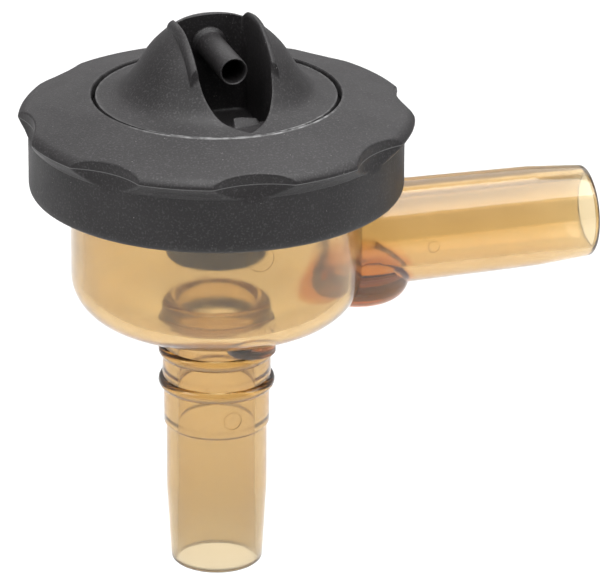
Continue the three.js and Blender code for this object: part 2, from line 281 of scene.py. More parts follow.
# ---------- meshes ----------
def skin(name, rows, loop=False):
    """A closed mesh over rows of points, each once round; loop joins the last row to the first."""
    rows = np.asarray(rows, float) * MM
    count, around = rows.shape[:2]
    faces = []
    for i in range(count if loop else count - 1):
        here, ahead = i * around, ((i + 1) % count) * around
        for j in range(around):
            k = (j + 1) % around
            faces.append((here + j, here + k, ahead + k, ahead + j))
    if not loop:
        faces.append(tuple(reversed(range(around))))
        faces.append(tuple(range((count - 1) * around, count * around)))
    mesh = bpy.data.meshes.new(name)
    mesh.from_pydata(rows.reshape(-1, 3).tolist(), [], faces)
    tidy(mesh)
    piece = bpy.data.objects.new(name, mesh)
    bpy.context.scene.collection.objects.link(piece)
    return piece


def tidy(mesh):
    """Welds coincident points, drops what has no area and turns every face outwards."""
    work = bmesh.new()
    work.from_mesh(mesh)
    bmesh.ops.remove_doubles(work, verts=work.verts, dist=1e-7)
    bmesh.ops.dissolve_degenerate(work, dist=1e-7, edges=work.edges)
    bmesh.ops.recalc_face_normals(work, faces=work.faces)
    if work.calc_volume(signed=True) < 0:
        bmesh.ops.reverse_faces(work, faces=work.faces)
    work.to_mesh(mesh)
    work.free()


def lathe(name, outline, segments=SEGMENTS, loop=True):
    """A solid of revolution about Z; an open outline starts and ends on the axis."""
    outline = np.array(outline)
    angles = np.linspace(0, 2 * math.pi, segments, endpoint=False)
    rows = np.empty((len(outline), segments, 3))
    rows[..., 0] = outline[:, :1] * np.cos(angles)
    rows[..., 1] = outline[:, :1] * np.sin(angles)
    rows[..., 2] = outline[:, 1:]
    return skin(name, rows, loop)


def place(piece, matrix):
    """Moves a piece's own vertices."""
    piece.data.transform(matrix)
    return piece


def along_x(height):
    """Lays a lathe solid along +X at a height."""
    return Matrix.Translation((0, 0, height * MM)) @ Matrix.Rotation(math.pi / 2, 4, "Y")


def along_back(height):
    """Lays a lathe solid along -Y at a height."""
    return Matrix.Translation((0, 0, height * MM)) @ Matrix.Rotation(math.pi / 2, 4, "X")


def combine(piece, other, operation):
    """Joins other to piece, or cuts it away, and removes other."""
    modifier = piece.modifiers.new("combine", "BOOLEAN")
    modifier.operation = operation
    modifier.solver = "EXACT"
    modifier.object = other
    bpy.context.view_layer.update()
    graph = bpy.context.evaluated_depsgraph_get()
    made = bpy.data.meshes.new_from_object(piece.evaluated_get(graph))
    piece.modifiers.remove(modifier)
    old = piece.data
    piece.data = made
    bpy.data.meshes.remove(old)
    bpy.data.objects.remove(other)
    tidy(made)
    made.name = piece.name
    return piece


def dress(piece, material, sharp=38.0):
    """Smooth shading that breaks at sharp edges, and the piece's material."""
    mesh = piece.data
    mesh.polygons.foreach_set("use_smooth", [True] * len(mesh.polygons))
    mesh.set_sharp_from_angle(angle=math.radians(sharp))
    mesh.materials.clear()
    mesh.materials.append(material)
    return piece


def thread_rise(angles, heights, start):
    """How far a helical ridge stands out of its wall, by angle and height."""
    rise = np.zeros(np.broadcast(angles, heights).shape)
    for turn in range(math.ceil(THREAD_TURNS) + 1):
        along = np.mod(angles, 2 * math.pi) / (2 * math.pi) + turn
        offset = np.abs(heights - start - THREAD_PITCH * along)
        fade = smooth_step(along, 0, THREAD_FADE)
        fade = fade * (1 - smooth_step(along, THREAD_TURNS - THREAD_FADE, THREAD_TURNS))
        ridge = 1 - smooth_step(offset, THREAD_CREST, THREAD_FOOT)
        rise = np.maximum(rise, THREAD_RISE * fade * ridge)
    return rise


# ---------- amber moulding: bowl, neck, outlet tube and inlet tube ----------
def bowl_outside():
    """Corners of the bowl's outside, from the neck to the rim."""
    return [
        (NECK, FLOOR, 0.9),
        *arc(BOWL - CORNER, CORNER_HEIGHT, CORNER, CORNER_END, 0, 16),
        (BOWL, SHOULDER, 0.8),
        (COLLAR, SHOULDER, 0.5),
        (COLLAR, RIM - 1.1, 0.3),
        (RIM_RADIUS, RIM - 0.7, 0.2),
        (RIM_RADIUS, RIM, 0.25),
    ]


def floor_outside(radius):
    """Height of the bowl's underside at a distance from the axis."""
    points = np.array(rounded(bowl_outside(), closed=False))
    points = points[points[:, 1] < CORNER_HEIGHT]
    return np.interp(radius, points[:, 0], points[:, 1])


def outer_solid():
    """The outside of bowl, neck and outlet tube, filled to the axis, with its screw thread."""
    low = OUTLET_LOW.z
    outline = rounded([
        (0, low),
        (MOUTH, low, LIP),
        (TUBE, low + TAPER, 8.0),
        (TUBE, STEP_HEIGHT - 0.5, 0.25),
        (STEP, STEP_HEIGHT + 0.1, 0.25),
        *arc(BEAD_CENTRE, -BEAD_HEIGHT, BEAD, -74, 64, 14),
        *arc(BEAD_CENTRE, BEAD_HEIGHT, BEAD, -64, 64, 14),
        *bowl_outside(),
        (0, RIM),
    ], closed=False)
    outline = refined(outline, 2.5, closed=False)
    on_wall = [i for i, (reach, height) in enumerate(outline)
               if reach > BOWL and SHOULDER + 0.6 < height < RIM - 1.4]
    fine = [(COLLAR, height) for height in np.arange(SHOULDER + 0.8, RIM - 1.5, 0.28)]
    profile = np.array(outline[:on_wall[0]] + fine + outline[on_wall[-1]:])
    angles = np.linspace(0, 2 * math.pi, SEGMENTS, endpoint=False)
    radius = np.repeat(profile[:, :1], SEGMENTS, axis=1)
    height = np.repeat(profile[:, 1:], SEGMENTS, axis=1)
    wall = np.isclose(profile[:, 0], COLLAR)
    radius[wall] += thread_rise(angles[None, :], height[wall], MALE_START)
    rows = np.stack([radius * np.cos(angles), radius * np.sin(angles), height], axis=-1)
    return skin("amber_body", rows)


def inner_void():
    """The hollow inside: outlet bore, seat, bowl and the recess for the diaphragm's rim."""
    low = OUTLET_LOW.z
    inside = BOWL - WALL
    seat_round = (SEAT - BORE) / 2
    outline = rounded([
        (0, low - 1),
        (BORE + MOUTH_FLARE, low - 1),
        (BORE + 0.05, low + 0.7, 1.2),
        *arc((BORE + SEAT) / 2, SEAT_TOP - seat_round, seat_round, 180, 0, 20),
        (SEAT, FLOOR + FLOOR_AT_SEAT, 0.8),
        *arc(BOWL - CORNER, CORNER_HEIGHT, CORNER - WALL, CORNER_END + 4, 0, 14),
        (inside, SHOULDER + WALL, 0.7),
        (COLLAR_INSIDE, SHOULDER + WALL, 0.6),
        (COLLAR_INSIDE, RIM + 1),
        (0, RIM + 1),
    ], closed=False)
    return lathe("void", refined(outline, 3.0, closed=False), loop=False)


def pad_solid():
    """The round gate pad under the bowl, its upper end sunk into the floor."""
    bottom = CORNER_HEIGHT - CORNER - PAD_DEPTH
    angles = np.linspace(0, 2 * math.pi, 64, endpoint=False)
    centre = (PAD_REACH * math.cos(PAD_TURN), PAD_REACH * math.sin(PAD_TURN))
    rows = []
    for radius, height in rounded([(0, bottom), (PAD, bottom, 0.35), (PAD, bottom + 1)], False):
        rows.append(np.stack([
            centre[0] + radius * np.cos(angles), centre[1] + radius * np.sin(angles),
            np.full(64, height)], axis=-1))
    for share in (1, 0.75, 0.5, 0.25, 0):
        x = centre[0] + share * PAD * np.cos(angles)
        y = centre[1] + share * PAD * np.sin(angles)
        rows.append(np.stack([x, y, floor_outside(np.hypot(x, y)) + WALL / 2], axis=-1))
    return skin("pad", rows)


def inlet_outside():
    """The inlet tube's outside, filled, from inside the bowl's wall to its mouth."""
    reach = INLET_HIGH.x
    outline = rounded([
        (0, INLET_START), (INLET_ROOT, INLET_START), (INLET_ROOT, BOWL, 20.0),
        (INLET, reach - INLET_TAPER, 8.0), (INLET_MOUTH, reach, LIP), (0, reach),
    ], closed=False)
    return place(lathe("inlet", refined(outline, 3.0, False), loop=False), along_x(INLET_HEIGHT))


def inlet_void():
    """The inlet tube's bore, slightly flared at its mouth."""
    reach = INLET_HIGH.x
    outline = rounded([
        (0, INLET_START), (INLET_BORE, INLET_START), (INLET_BORE, reach - 0.8, 1.2),
        (INLET_BORE + MOUTH_FLARE, reach + 1), (0, reach + 1),
    ], closed=False)
    return place(lathe("bore", refined(outline, 3.0, False), loop=False), along_x(INLET_HEIGHT))


def boss_solid():
    """The solid upright boss under the inlet tube."""
    outline = rounded([
        (0, INLET_LOW.z), (BOSS, INLET_LOW.z, BOSS_ROUND), (BOSS, INLET_HEIGHT), (0, INLET_HEIGHT),
    ], closed=False, steps=12)
    boss = lathe("boss", refined(outline, 2.5, False), segments=128, loop=False)
    return place(boss, Matrix.Translation((BOSS_REACH * MM, 0, 0)))


def ring_groove(radius, surface, width, deepest):
    """A cutter for a witness mark: a thin ring wrapped on a round wall that faces -Y, about Z."""
    rows = []
    turn = np.linspace(0, 2 * math.pi, 72, endpoint=False)
    widths = width * (0.6 + 0.4 * np.cos((turn - math.radians(deepest)) / 2) ** 2)
    for around in np.linspace(0, 2 * math.pi, 12, endpoint=False):
        reach = radius + widths * math.cos(around)
        depth = surface + widths * math.sin(around)
        side = reach * np.cos(turn) / surface - math.pi / 2
        rows.append(np.stack([depth * np.cos(side), depth * np.sin(side), reach * np.sin(turn)], -1))
    return skin("groove", rows, loop=True)


def amber_moulding(material):
    """The whole amber moulding as one continuous piece, with its witness marks."""
    body = outer_solid()
    combine(body, inlet_outside(), "UNION")
    combine(body, boss_solid(), "UNION")
    combine(body, pad_solid(), "UNION")
    combine(body, inner_void(), "DIFFERENCE")
    combine(body, inlet_void(), "DIFFERENCE")
    marks = [
        (BOWL_MARK, Matrix.Rotation(BOWL_MARK_TURN, 4, "Z")
         @ Matrix.Translation((0, 0, BOWL_MARK_HEIGHT * MM))),
        (NECK_MARK, Matrix.Rotation(NECK_MARK_TURN, 4, "Z")
         @ Matrix.Translation((0, 0, NECK_MARK_HEIGHT * MM))),
        (INLET_MARK, Matrix.Translation((INLET_MARK_REACH * MM, 0, INLET_HEIGHT * MM))
         @ Matrix.Rotation(math.pi / 2, 4, "Y")),
    ]
    for mark, matrix in marks:
        combine(body, place(ring_groove(*mark), matrix), "DIFFERENCE")
    return dress(body, material, 32.0)


# ---------- screw ring ----------
def cone_top(radius):
    """Height of the ring's sloping top."""
    slope = (RING_CONE_HEIGHT - RING_HIGH.z) / (RING_CONE - RING_OPENING)
    return RING_HIGH.z + slope * (radius - RING_OPENING)


def grip_wall(angles, heights):
    """Distance from the axis to the finger recesses' walls; far outside between them."""
    step = 2 * math.pi / GRIPS
    away = np.mod(angles - GRIP_TURN + step / 2, step) - step / 2
    drum = GRIP_RADIUS - 1.3 * (np.clip(RING_RIM_HEIGHT + 0.5 - heights, 0, 5) / 5) ** 2
    centre = GRIP_REACH + GRIP_RADIUS
    under = drum**2 - (centre * np.sin(away)) ** 2
    return np.where(under > 0, centre * np.cos(away) - np.sqrt(np.maximum(under, 0)), GRIP_NONE)


def ring_side(heights):
    """Radius of the ring's rim, its undercut and its skirt, without the recesses."""
    profile = np.array(spline([
        (RING_LOW.z + 1.0, RING_SKIRT), (50.2, RING_SKIRT), (51.1, RING_SKIRT + 0.12),
        (52.0, RING_SKIRT + 0.62), (53.1, RING_SKIRT + 1.55), (53.7, RING_RIM - 0.1),
        (RING_RIM_HEIGHT, RING_RIM), (54.5, RING_RIM - 0.06), (55.0, RING_RIM - 0.38),
        (55.45, RING_RIM - 0.85), (RING_CONE_HEIGHT, RING_CONE),
    ], 12))
    return np.interp(heights, profile[:, 0], profile[:, 1])


def screw_ring(material):
    """The black screw ring, with eight finger recesses, a parting line and its inner thread."""
    angles = np.linspace(0, 2 * math.pi, RING_POINTS, endpoint=False)
    edge = smooth_min(np.full(RING_POINTS, RING_CONE), grip_wall(angles, RING_CONE_HEIGHT), 0.5)
    edge_height = cone_top(edge)
    rows = []

    def wall(heights):
        line = PARTING_RISE * np.exp(-((heights - RING_RIM_HEIGHT) / PARTING_WIDTH) ** 2)
        return smooth_min(ring_side(heights), grip_wall(angles, heights), 0.35) + line

    def row(radius, height):
        radius = np.broadcast_to(radius, (RING_POINTS,))
        height = np.broadcast_to(height, (RING_POINTS,))
        rows.append(np.stack([radius * np.cos(angles), radius * np.sin(angles), height], -1))

    # the opening's rounded edge, then the sloping top out to the rim
    opening_top = cone_top(RING_OPENING)
    row(RING_OPENING, opening_top - RING_INNER_EDGE)
    row(RING_OPENING + 0.07, opening_top - 0.17)
    row(RING_OPENING + 0.22, opening_top - 0.03)
    start = RING_OPENING + RING_INNER_EDGE
    for share in np.linspace(0, 1, 20):
        radius = start + (edge - RING_EDGE - start) * share
        row(radius, cone_top(radius))

    # the rim's rounded edge, as a curve from the top to the side
    side_start = edge_height - RING_EDGE
    for share in (0.25, 0.5, 0.75):
        near, far = (1 - share) ** 2, share**2
        mid = 1 - near - far
        row(near * (edge - RING_EDGE) + mid * edge + far * wall(side_start),
            near * cone_top(edge - RING_EDGE) + mid * edge_height + far * side_start)

    # the side: rim, parting line, undercut and skirt
    level_from = RING_RIM_HEIGHT + 0.5
    for share in np.linspace(0, 1, 8):
        height = side_start + (level_from - side_start) * share
        row(wall(height), height)
    parting = [54.3, 54.16, 54.1, 54.05, 54.0, 53.95, 53.9, 53.84, 53.7]
    undercut = list(np.linspace(53.45, 50.0, 16))
    skirt = [48.5, 46, 43.5, 41.5, 40.8]
    for height in parting + undercut + skirt:
        row(wall(np.full(RING_POINTS, height)), height)

    # the foot, the inner thread and the underside of the top
    low = RING_LOW.z
    for radius, height in rounded([
            (RING_SKIRT - 0.02, low + 1.15), (RING_SKIRT - 0.1, low, 1.0),
            (RING_ROOT, low, 0.35), (RING_ROOT, low + 1.0)], closed=False):
        row(radius, height)
    for height in np.arange(low + 1.2, RIM - 1.0, 0.36):
        row(RING_ROOT - thread_rise(angles, np.full(RING_POINTS, height), FEMALE_START), height)
    under = cone_top(RING_SHELF) - RING_PLATE
    for radius, height in [
            (RING_ROOT, RIM - 0.9), (RING_SHELF + 0.1, RIM + 0.5), (RING_SHELF, RIM + 0.7),
            (RING_SHELF, under - 0.3), (RING_SHELF - 0.3, under - 0.02),
            (30.0, cone_top(30.0) - RING_PLATE),
            (RING_OPENING + 0.3, cone_top(RING_OPENING + 0.3) - RING_PLATE),
            (RING_OPENING, opening_top - RING_PLATE + 0.3)]:
        row(radius, height)
    return dress(skin("ring_moulding", rows, loop=True), material)


# ---------- cover with its hood and vacuum nipple ----------
HOOD = spline([
    (0, 16.0), (5.0, 15.6), (8.0, 14.8), (10.4, 13.2), (12.5, 11.3), (14.4, 9.0),
    (16.9, 5.0), (19.7, 1.6), (23.6, 0.05), (DISC, 0.0),
], 16)
HOOD_LEAN = np.hypot(1, np.gradient(HOOD[:, 1], HOOD[:, 0]))


def slot_outline(grow):
    """The slot's plan as points evenly spaced round it, and the outward direction at each."""
    half, back = SLOT_HALF + grow, SLOT_BACK + grow
    tip = SLOT_TIP + 1.3 * grow
    middle = -(SLOT_STRAIGHT + tip) / 2
    share = np.linspace(0, 1, 40)[:, None]

    def curve(a, b, c):
        a, b, c = np.array(a), np.array(b), np.array(c)
        return (1 - share) ** 2 * a + 2 * share * (1 - share) * b + share**2 * c

    side = [(half, back - SLOT_CORNER), (half, -SLOT_STRAIGHT)]
    front = curve((half, -SLOT_STRAIGHT), (half, middle), (0, -tip))
    corner = curve((half - SLOT_CORNER, back), (half, back), (half, back - SLOT_CORNER))
    right = np.vstack([[(0, back)], corner, side, front])
    left = right[::-1] * (-1, 1)
    points = np.vstack([right, left[1:]])
    keep = np.append(True, np.linalg.norm(np.diff(points, axis=0), axis=1) > 1e-6)
    points = points[keep]
    run = np.append(0, np.cumsum(np.linalg.norm(np.diff(points, axis=0), axis=1)))
    at = np.linspace(0, run[-1], SLOT_POINTS, endpoint=False)
    even = np.stack([np.interp(at, run, points[:, 0]), np.interp(at, run, points[:, 1])], -1)
    for _ in range(14):
        even = (np.roll(even, 1, 0) + 2 * even + np.roll(even, -1, 0)) / 4
    ahead = np.roll(even, -1, 0) - np.roll(even, 1, 0)
    outward = np.stack([-ahead[:, 1], ahead[:, 0]], -1)
    outward /= np.linalg.norm(outward, axis=1, keepdims=True)
    flip = np.sign(np.sum(outward * (even - SLOT_CENTRE), axis=1, keepdims=True))
    return even, outward * flip


def to_circle(points, radius):
    """Where the rays from a point inside the slot through these points meet a circle."""
    ray = points - SLOT_FOCUS
    ray /= np.linalg.norm(ray, axis=1, keepdims=True)
    along = ray @ SLOT_FOCUS
    reach = np.sqrt(along**2 - SLOT_FOCUS @ SLOT_FOCUS + radius**2) - along
    return SLOT_FOCUS + ray * reach[:, None]


def hood_height(plan):
    """Height of the hood's surface over a plan point."""
    radius = np.linalg.norm(plan, axis=-1)
    return DISC_TOP + np.interp(radius, HOOD[:, 0], HOOD[:, 1])


def hollow_top(plan):
    """Height of the hood's inner surface over a plan point."""
    return np.maximum(hood_height(plan) - COVER_WALL, DISC_TOP - COVER_WALL)


def flange_top(radius):
    """Height of the cover's flange, just under the ring's plate."""
    return cone_top(radius) - RING_PLATE - GAP


def roll_rise(plan, away):
    """Height of the rolled lips on the slot's two edges, by plan point and distance from the edge."""
    across = np.clip(np.abs(2 * away / ROLL_WIDTH - 1), 0, 1)
    bead = (1 - across**3.6) ** 0.5
    length = smooth_step(plan[:, 1], ROLL_FRONT - 0.12, ROLL_FRONT + 0.12)
    length = length * np.sqrt(1 - np.clip((plan[:, 1] - ROLL_BACK + 1.1) / 1.1, 0, 1) ** 2)
    radius = np.linalg.norm(plan, axis=-1)
    return ROLL_RISE * bead * length * np.interp(radius, HOOD[:, 0], HOOD_LEAN)


def pocket_floor(plan):
    """Height of the pocket's floor: a ledge at the slot's tip, and deeper behind it."""
    return SLOT_FLOOR - POCKET_DROP * smooth_step(plan[:, 1], WEDGE_CREST, WEDGE_CREST + 2.0)


def wedge_rise(plan):
    """Height of the small wedge that stands on the pocket's ledge."""
    x, y = plan[:, 0], plan[:, 1] - 0.25 * plan[:, 0]
    climb = np.clip((y - WEDGE_FOOT) / (WEDGE_CREST - WEDGE_FOOT), 0, 1)
    behind = 1 - smooth_step(y, WEDGE_CREST, WEDGE_CREST + 0.5)
    across = smooth_step(x, -1.6, -0.9) * (1 - smooth_step(x, 3.9, 4.6))
    return WEDGE_RISE * climb * behind * across


def nipple_solids():
    """The vacuum nipple that stands out of the slot's back wall, and the hole through it."""
    foot = SLOT_BACK + 0.75
    outside = rounded([
        (0, -foot), (NIPPLE + 0.75, -foot), (NIPPLE + 0.75, -SLOT_BACK + 0.6, 0.25),
        (NIPPLE, -SLOT_BACK + 1.3, 0.5), (NIPPLE, NIPPLE_REACH, 0.22), (0, NIPPLE_REACH),
    ], closed=False)
    bore = rounded([
        (0, -foot - 3), (NIPPLE_BORE, -foot - 3), (NIPPLE_BORE, NIPPLE_REACH - 0.25, 0.3),
        (NIPPLE_BORE + 1.1, NIPPLE_REACH + 1), (0, NIPPLE_REACH + 1),
    ], closed=False)
    tube = lathe("nipple", refined(outside, 1.5, False), segments=96, loop=False)
    hole = lathe("hole", refined(bore, 1.5, False), segments=96, loop=False)
    return place(tube, along_back(NIPPLE_HEIGHT)), place(hole, along_back(NIPPLE_HEIGHT))


def cover_moulding(material):
    """Cover disc, flange, hood with rolled slot edges, pocket and nipple, as one closed piece."""
    edge, outward = slot_outline(0)
    rim = to_circle(edge, DISC - 0.3)
    room = np.linalg.norm(rim - edge, axis=1)
    squeeze = np.minimum(1, 0.7 * room / (ROLL_WIDTH + 0.8))
    rows = []

    def row(plan, height):
        rows.append(np.column_stack([plan, np.broadcast_to(height, (len(plan),))]))

    # the pocket: floor, rounded corner and wall up to the slot's edge
    for share in np.linspace(0, 0.84, 34):
        plan = SLOT_CENTRE + (edge - SLOT_CENTRE) * share
        row(plan, pocket_floor(plan) + wedge_rise(plan))
    for height, inside in ((0.0, FLOOR_ROUND), (0.08, 0.3), (0.3, 0.08), (FLOOR_ROUND, 0.0)):
        plan = edge - outward * inside
        row(plan, pocket_floor(plan) + height)
    lip = hood_height(edge) - 0.3
    low = pocket_floor(edge) + FLOOR_ROUND
    for share in (0.2, 0.4, 0.6, 0.8, 1.0):
        row(edge, low + (np.maximum(lip, low + 0.1) - low) * share)

    # the rolled edge, the hood and the disc, out to the disc's rim
    past_roll = 2.8
    for away in (0.03, 0.07, 0.13, 0.2, 0.3, 0.45, 0.65, 0.9, 1.15, 1.35, 1.5, 1.62, 1.7, 1.76,
                 1.8, 1.84, 2.0, 2.3, past_roll):
        distance = away * squeeze
        plan = edge + outward * distance[:, None]
        soft = 0.3 * (1 - np.clip(away / 0.45, 0, 1)) ** 2
        row(plan, hood_height(plan) + roll_rise(plan, distance) - soft)
    start = edge + outward * (past_roll * squeeze)[:, None]
    for share in np.linspace(0, 1, 34)[1:]:
        plan = start + (rim - start) * share
        row(plan, hood_height(plan))
    row(to_circle(edge, DISC - 0.1), DISC_TOP - 0.04)
    row(to_circle(edge, DISC), DISC_TOP - 0.3)

    # the flange under the ring, and its underside
    row(to_circle(edge, DISC), flange_top(DISC) + 0.2)
    row(to_circle(edge, DISC + 0.2), flange_top(DISC))
    for radius in (27.5, 31.0, COVER_RADIUS - 0.4):
        row(to_circle(edge, radius), flange_top(radius))
    row(to_circle(edge, COVER_RADIUS), flange_top(COVER_RADIUS) - 0.08)
    row(to_circle(edge, COVER_RADIUS), COVER_LOW.z + 0.08)
    row(to_circle(edge, COVER_RADIUS - 0.1), COVER_LOW.z)
    row(to_circle(edge, FLANGE_BORE + 0.3), COVER_LOW.z)
    row(to_circle(edge, FLANGE_BORE), COVER_LOW.z + 0.3)
    row(to_circle(edge, 25.5), flange_top(25.5) - COVER_WALL)

    # the hollow under the hood, and the pocket's outside in it
    inner_edge = slot_outline(SLOT_WALL)[0]
    under_rim = to_circle(inner_edge, HOLLOW)
    reach = np.linalg.norm(inner_edge, axis=1)
    inner_edge = inner_edge * np.minimum(1, POCKET_REACH / reach)[:, None]
    for share in np.linspace(0, 1, 16):
        plan = under_rim + (inner_edge - under_rim) * share
        row(plan, hollow_top(plan))
    top = hollow_top(inner_edge)
    for share in (0.25, 0.5, 0.75, 1.0):
        row(inner_edge, top + (pocket_floor(inner_edge) - SLOT_WALL - top) * share)
    for share in (0.85, 0.7, 0.6, 0.5, 0.3, 0.0):
        plan = SLOT_CENTRE + (inner_edge - SLOT_CENTRE) * share
        row(plan, pocket_floor(plan) - SLOT_WALL)

    body = skin("cover_moulding", rows)
    tube, hole = nipple_solids()
    combine(body, tube, "UNION")
    combine(body, hole, "DIFFERENCE")
    place(body, Matrix.Rotation(COVER_TURN, 4, "Z"))
    return dress(body, material)


# ---------- rubber diaphragm and plug, and the plate in it ----------
RUBBER_INNER = 30.9
PLUG_WAIST = 8.6
WEB_TOP = RIM + 0.6
WEB_LINE = [
    (30.75, WEB_TOP), (27.0, RIM - 1.6), (22.0, RIM - 7.0), (16.0, PLUG_HIGH.z + 0.6),
    (8.3, PLUG_HIGH.z - 1.4),
]
WEB_THICKNESS = 1.3


def diaphragm_rim(material):
    """The clamped rim, a rubber ring with a bead that drops into the collar."""
    low, high = RUBBER_LOW.z, RUBBER_HIGH.z
    bead = COLLAR_INSIDE - GAP
    outline = rounded([
        (RUBBER_INNER, low, 0.4), (bead, low, 0.5), (bead, RIM + GAP, 0.25),
        (COVER_RADIUS, RIM + GAP, 0.3), (COVER_RADIUS, high, 0.4), (RUBBER_INNER, high, 0.4),
    ])
    return dress(lathe("diaphragm_bead", refined(outline, 1.5)), material)


def diaphragm(material):
    """The thin web and the plug under it, one rubber moulding, with the plate's recess on top."""
    line = spline(WEB_LINE, 10)
    upper = [(r, z + WEB_THICKNESS / 2) for r, z in line if r > PLUG_WAIST + 0.3]
    lower = [(r, z - WEB_THICKNESS / 2) for r, z in line if r > PLUG_WAIST + 0.5]
    recess = PLATE_HIGH.x + GAP
    plug = PLUG_HIGH.x
    low = PLUG_LOW.z
    outline = rounded([
        (0, PLATE_LOW.z - GAP), (recess, PLATE_LOW.z - GAP, 0.2), (recess, PLUG_HIGH.z, 0.2),
        (PLUG_WAIST, PLUG_HIGH.z, 0.15), *upper[::-1], *lower, (PLUG_WAIST, low + 11.0, 1.0),
        (PLUG_WAIST, low + 6.4, 1.5), (plug, low + 4.2, 0.5), (plug, low, 0.9), (plug - 3.0, low, 0.4),
        (plug - 3.6, low + 0.5, 0.4), (0, low + 0.5),
    ], closed=False)
    piece = lathe("diaphragm_web_and_plug", refined(outline, 0.9, False), loop=False)
    return dress(piece, material)


def support_plate(material):
    """The stiff disc in the plug's top, a little dished."""
    low, high = PLATE_LOW.z, PLATE_HIGH.z
    reach = PLATE_HIGH.x
    dish = high - 0.35
    outline = rounded([
        (0, low), (reach, low, 0.3), (reach, high, 0.45), (reach - 1.6, high, 0.2),
        (reach - 1.9, dish, 0.2), (0, dish),
    ], closed=False)
    plate = lathe("plug_plate", refined(outline, 1.0, False), segments=128, loop=False)
    return dress(plate, material)


# ---------- materials ----------
AMBER = (0.90, 0.80, 0.60, 1)
AMBER_HAZE = (0.87, 0.765, 0.555, 1)
# darker amber for the outlet tube: painted shade
AMBER_TUBE_PAINTED_SHADE = (0.72, 0.63, 0.46, 1)
AMBER_SPECK = (0.16, 0.09, 0.04, 1)
AMBER_BOSS = (0.90, 0.36, 0.06, 1)
# paler amber for the seat: painted light
AMBER_SEAT_PAINTED_LIGHT = (1.0, 0.96, 0.84, 1)
AMBER_DEPTH = (0.81, 0.57, 0.05, 1)
BLACK_DARK = (0.0125, 0.0112, 0.0118)
BLACK_PALE = (0.0175, 0.0157, 0.0165)
BLACK_SPECKLE = (0.075, 0.071, 0.073, 1)
# pale for the painted highlights on the disc rim and the ring's opening, and for the pale parting line
EDGE_PALE = (0.30, 0.30, 0.30, 1)
DUST = (0.30, 0.29, 0.28, 1)
RUBBER_DARK = (0.014, 0.014, 0.0145, 1)
RUBBER_BLOOM = (0.036, 0.036, 0.037, 1)
GREY_DARK = (0.075, 0.08, 0.084, 1)
GREY_PALE = (0.12, 0.125, 0.13, 1)
CARD_DARK = (0.92, 0.92, 0.92, 1)
CARD_PALE = (0.95, 0.95, 0.95, 1)


class Nodes:
    """A material's node tree, with short calls for the nodes that these finishes use."""

    def __init__(self, name):
        self.material = bpy.data.materials.new(name)
        self.material.use_nodes = True
        self.tree = self.material.node_tree
        self.surface = self.tree.nodes["Principled BSDF"]
        self.output = self.tree.nodes["Material Output"]
        self.place = self.add("ShaderNodeTexCoord").outputs["Object"]

    def add(self, kind, **inputs):
        """A node, with its input sockets set or linked by name."""
        node = self.tree.nodes.new(kind)
        for name, value in inputs.items():
            self.feed(node.inputs[name.replace("_", " ")], value)
        return node

    def feed(self, socket, value):
        """Sets a socket to a value, or links an output to it."""
        if isinstance(value, bpy.types.NodeSocket):
            self.tree.links.new(value, socket)
        else:
            socket.default_value = value

    def noise(self, size, detail=3.0, roughness=0.5):
        """Noise whose features are size millimetres across."""
        node = self.add("ShaderNodeTexNoise", Vector=self.place, Scale=1 / (size * MM), Detail=detail,
                        Roughness=roughness)
        return node.outputs["Fac"]

    def height(self):
        """Height above the frame's origin."""
        return self.add("ShaderNodeSeparateXYZ", Vector=self.place).outputs["Z"]

    def along_y(self):
        """Position along Y."""
        return self.add("ShaderNodeSeparateXYZ", Vector=self.place).outputs["Y"]

    def radius(self, x=0.0):
        """Distance from the upright line through (x, 0)."""
        off = self.add("ShaderNodeVectorMath", Vector=self.place)
        off.operation = "SUBTRACT"
        off.inputs[1].default_value = (x * MM, 0, 0)
        flat = self.add("ShaderNodeVectorMath", Vector=off.outputs["Vector"])
        flat.operation = "MULTIPLY"
        flat.inputs[1].default_value = (1, 1, 0)
        length = self.add("ShaderNodeVectorMath", Vector=flat.outputs["Vector"])
        length.operation = "LENGTH"
        return length.outputs["Value"]

    def near(self, value, target, inner, outer):
        """1 within inner millimetres of target, 0 beyond outer."""
        off = self.math("ABSOLUTE", self.math("SUBTRACT", value, target * MM))
        return self.ramp(off, inner * MM, outer * MM, 1.0, 0.0)

    def cells(self, size):
        """Distance to scattered points about size millimetres apart."""
        node = self.add("ShaderNodeTexVoronoi", Vector=self.place, Scale=1 / (size * MM))
        return node.outputs["Distance"]

    def ramp(self, value, low, high, to_low=0.0, to_high=1.0):
        """Maps value from one span to another, smoothly and clamped."""
        node = self.add("ShaderNodeMapRange", Value=value)
        node.interpolation_type = "SMOOTHSTEP"
        for name, number in (("From Min", low), ("From Max", high), ("To Min", to_low),
                             ("To Max", to_high)):
            self.feed(node.inputs[name], number)
        return node.outputs["Result"]

    def mix(self, share, first, second):
        """A colour between two colours."""
        node = self.tree.nodes.new("ShaderNodeMix")
        node.data_type = "RGBA"
        self.feed(node.inputs[0], share)
        self.feed(node.inputs[6], first)
        self.feed(node.inputs[7], second)
        return node.outputs[2]

    def math(self, operation, first, second=0.0):
        """One arithmetic step on sockets or numbers."""
        node = self.tree.nodes.new("ShaderNodeMath")
        node.operation = operation
        self.feed(node.inputs[0], first)
        self.feed(node.inputs[1], second)
        return node.outputs[0]

    def both(self, first, second):
        """The product of two masks, or of a mask and a strength."""
        return self.math("MULTIPLY", first, second)

    def bump(self, height, distance, normal=None):
        """A bump of a depth in millimetres."""
        node = self.add("ShaderNodeBump", Height=height, Distance=distance * MM, Strength=1.0)
        if normal is not None:
            self.feed(node.inputs["Normal"], normal)
        return node.outputs["Normal"]

    def set(self, **inputs):
        """Sets the surface shader's sockets."""
        for name, value in inputs.items():
            self.feed(self.surface.inputs[name.replace("_", " ")], value)


